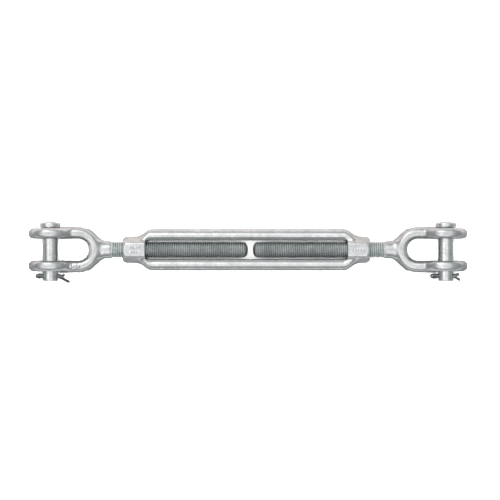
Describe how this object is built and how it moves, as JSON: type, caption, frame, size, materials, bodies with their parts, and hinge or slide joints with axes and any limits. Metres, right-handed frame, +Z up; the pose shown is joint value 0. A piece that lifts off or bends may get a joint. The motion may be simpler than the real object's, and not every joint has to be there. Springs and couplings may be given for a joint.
{
  "type": "rigging turnbuckle",
  "caption": "Open-body rigging turnbuckle in galvanised steel, with a clevis jaw on each end held by a headed pin and a cotter; turning the body draws the jaws together or apart.",
  "frame": {"origin": "on the thread axis, at the middle of the left clevis pin, halfway between the two ears", "axes": "+X along the thread axis from the left jaw to the right jaw, +Y along the clevis pins towards their heads, +Z up with the part lying flat on the rims of its four ears"},
  "size_m": [0.5092, 0.0731, 0.0504],
  "materials": {
    "forged_body": "drop-forged steel, hot-dip galvanised, satin grey",
    "forged_jaw": "drop-forged steel, hot-dip galvanised, satin grey; darker on the threads",
    "clevis_pin": "galvanised steel, smoother than the forgings",
    "cotter": "zinc-plated wire, dull grey",
    "thread_grease": "amber thread grease, wet sheen"
  },
  "bodies": {
    "left_jaw": {"left_jaw": "forged_jaw"},
    "thread_grease": {"left_thread_grease": "thread_grease", "right_thread_grease": "thread_grease"},
    "turnbuckle_body": {"turnbuckle_body": "forged_body"},
    "right_jaw": {"right_jaw": "forged_jaw"},
    "left_pin": {"left_clevis_pin": "clevis_pin", "left_cotter": "cotter"},
    "right_pin": {"right_clevis_pin": "clevis_pin", "right_cotter": "cotter"}
  },
  "joints": [
    {"name": "body_travel", "type": "slide", "parent": "left_jaw", "child": "thread_grease", "axis": [1, 0, 0], "range_m": [-0.00255, 0.11177]},
    {"name": "body_spin", "type": "hinge", "parent": "thread_grease", "child": "turnbuckle_body", "pos_m": [0.2275, 0, 0], "axis": [-1, 0, 0], "range_deg": [-360, 15840]},
    {"name": "right_jaw_travel", "type": "slide", "parent": "thread_grease", "child": "right_jaw", "axis": [1, 0, 0], "range_m": [-0.00255, 0.11177]},
    {"name": "left_pin_turn", "type": "hinge", "parent": "left_jaw", "child": "left_pin", "pos_m": [0, 0, 0], "axis": [0, 1, 0], "continuous": true},
    {"name": "right_pin_turn", "type": "hinge", "parent": "right_jaw", "child": "right_pin", "pos_m": [0.4588, 0, 0], "axis": [0, 1, 0], "continuous": true}
  ],
  "couplings": [
    {"joint": "body_travel", "follows": "body_spin", "m_per_rad": 0.00040425},
    {"joint": "right_jaw_travel", "follows": "body_spin", "m_per_rad": 0.00040425}
  ]
}
